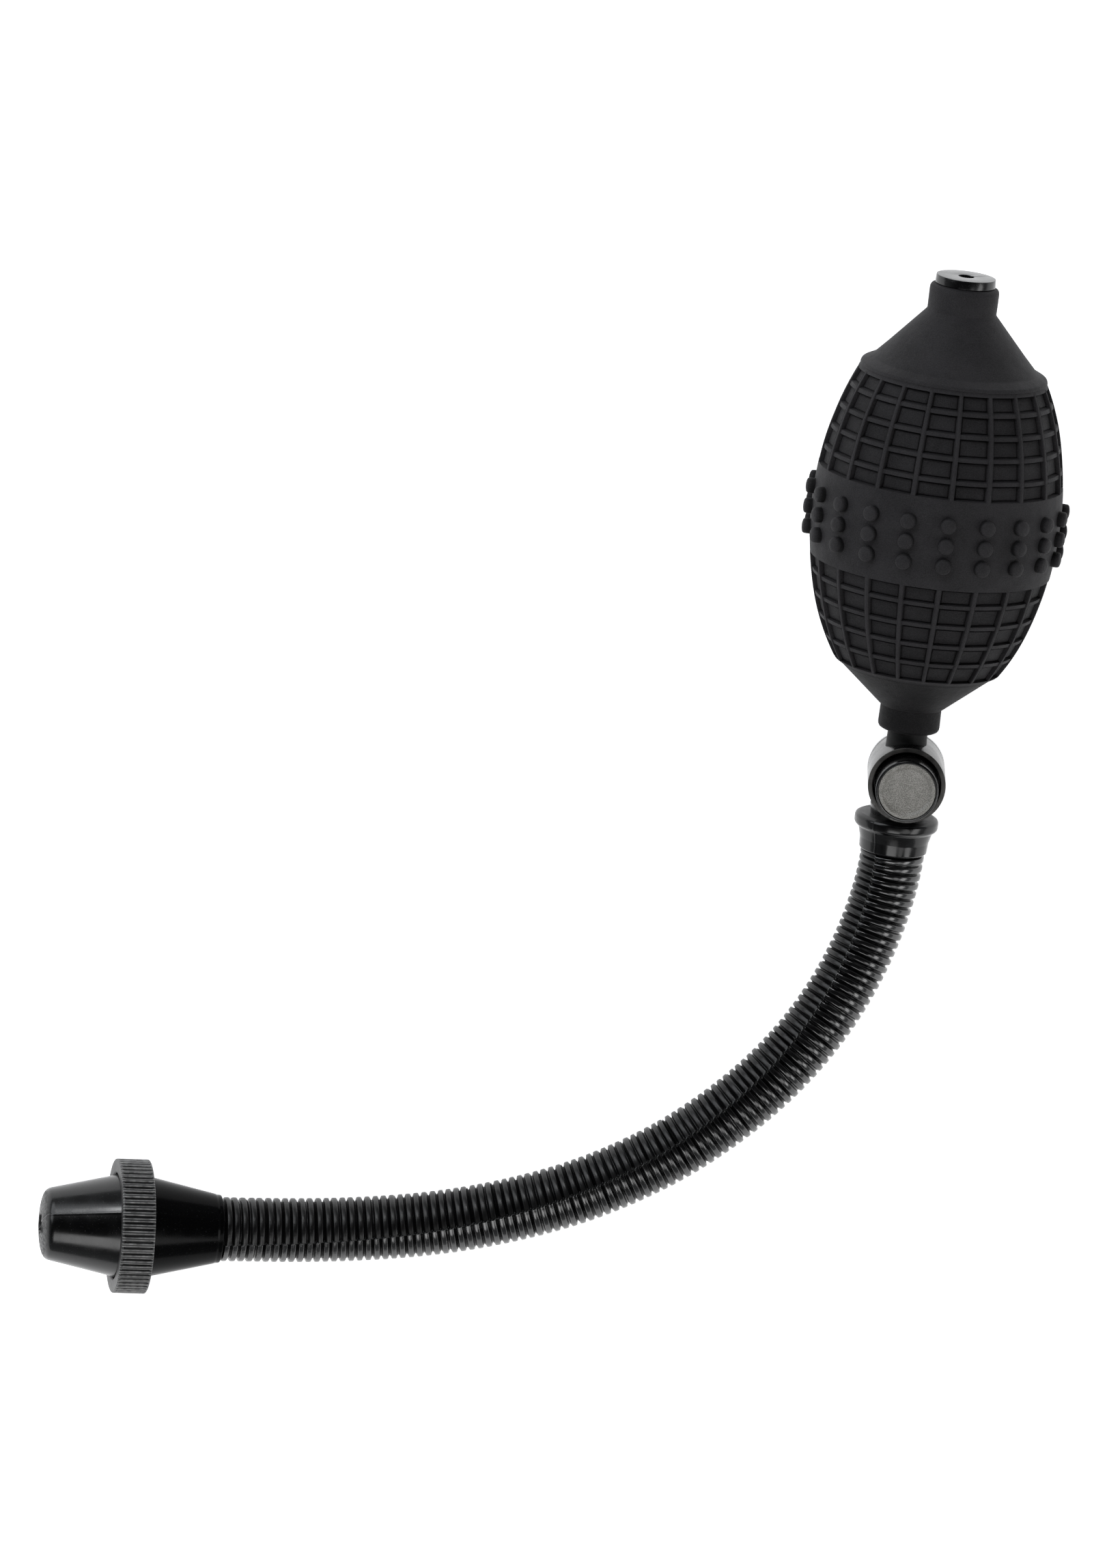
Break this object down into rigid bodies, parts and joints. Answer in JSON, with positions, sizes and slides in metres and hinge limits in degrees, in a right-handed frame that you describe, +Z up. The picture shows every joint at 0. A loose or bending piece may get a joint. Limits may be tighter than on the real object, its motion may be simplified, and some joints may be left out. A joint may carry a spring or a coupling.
{
  "type": "hand bulb air pump",
  "caption": "Hand squeeze bulb with one-way valves, a push-to-release button, a corrugated hose and a screw-on tapered nozzle.",
  "frame": {"origin": "On the table, under the middle of the box round the bulb, its valve and the hose cuff, seen from above.", "axes": "+Z up from the table, +Y under the bulb's axis towards the intake end, +X to the right of the bulb. The bulb's axis lies in the YZ plane and rises 14 degrees towards the intake."},
  "size_m": [0.2102, 0.2486, 0.0599],
  "materials": {
    "bulb_rubber": "matte moulded rubber",
    "gloss_black": "polished moulding",
    "button_grey": "satin face",
    "hose_rubber": "semi-gloss moulded rubber",
    "nut_black": "satin, knurled",
    "inner_white": "moulded",
    "flap_rubber": "soft, smooth",
    "seal_rubber": "smooth",
    "stem_brass": "turned",
    "spring_steel": "drawn wire"
  },
  "bodies": {
    "root": {"bulb": "bulb_rubber", "intake_plug": "gloss_black", "intake_retainer": "inner_white", "valve_body": "gloss_black", "check_valve_seat": "inner_white", "check_valve_retainer": "inner_white", "release_spring": "spring_steel", "rear_cap": "gloss_black", "rear_cap_seal": "seal_rubber", "hose_cuff": "hose_rubber", "hose": "hose_rubber", "coupling_cone": "gloss_black", "nozzle_gasket": "seal_rubber"},
    "grip_left": {"bulb_grip_left": "bulb_rubber"},
    "grip_right": {"bulb_grip_right": "bulb_rubber"},
    "intake_disc": {"intake_disc": "flap_rubber"},
    "check_disc": {"check_valve_disc": "flap_rubber"},
    "release_button": {"release_button": "button_grey", "release_stem": "stem_brass", "release_seal": "seal_rubber"},
    "nozzle": {"nozzle": "gloss_black"},
    "union_nut": {"union_nut": "nut_black"}
  },
  "joints": [
    {"name": "squeeze_left", "type": "slide", "parent": "root", "child": "grip_left", "axis": [1, 0, 0], "range_m": [0, 0.01], "stiffness_N_per_m": 800},
    {"name": "squeeze_right", "type": "slide", "parent": "root", "child": "grip_right", "axis": [-1, 0, 0], "range_m": [0, 0.01], "stiffness_N_per_m": 800},
    {"name": "intake_flap", "type": "slide", "parent": "root", "child": "intake_disc", "axis": [0, -0.9703, -0.2419], "range_m": [0, 0.001], "stiffness_N_per_m": 40},
    {"name": "check_flap", "type": "slide", "parent": "root", "child": "check_disc", "axis": [0, -0.9703, -0.2419], "range_m": [0, 0.001], "stiffness_N_per_m": 40},
    {"name": "release_press", "type": "slide", "parent": "root", "child": "release_button", "axis": [0, 0.2419, -0.9703], "range_m": [0, 0.0025], "stiffness_N_per_m": 1200, "springref_m": -0.002, "deforming": ["release_spring"]},
    {"name": "nozzle_advance", "type": "slide", "parent": "root", "child": "nozzle", "axis": [-0.9802, -0.0772, 0.1822], "range_m": [0, 0.0026]},
    {"name": "nut_turn", "type": "hinge", "parent": "nozzle", "child": "union_nut", "pos_m": [-0.1596, -0.16774, 0.01554], "axis": [-0.9802, -0.0772, 0.1822], "range_deg": [0, 720]}
  ],
  "couplings": [
    {"joint": "squeeze_right", "follows": "squeeze_left", "ratio": 1},
    {"joint": "nozzle_advance", "follows": "nut_turn", "m_per_rad": 0.00019894}
  ]
}
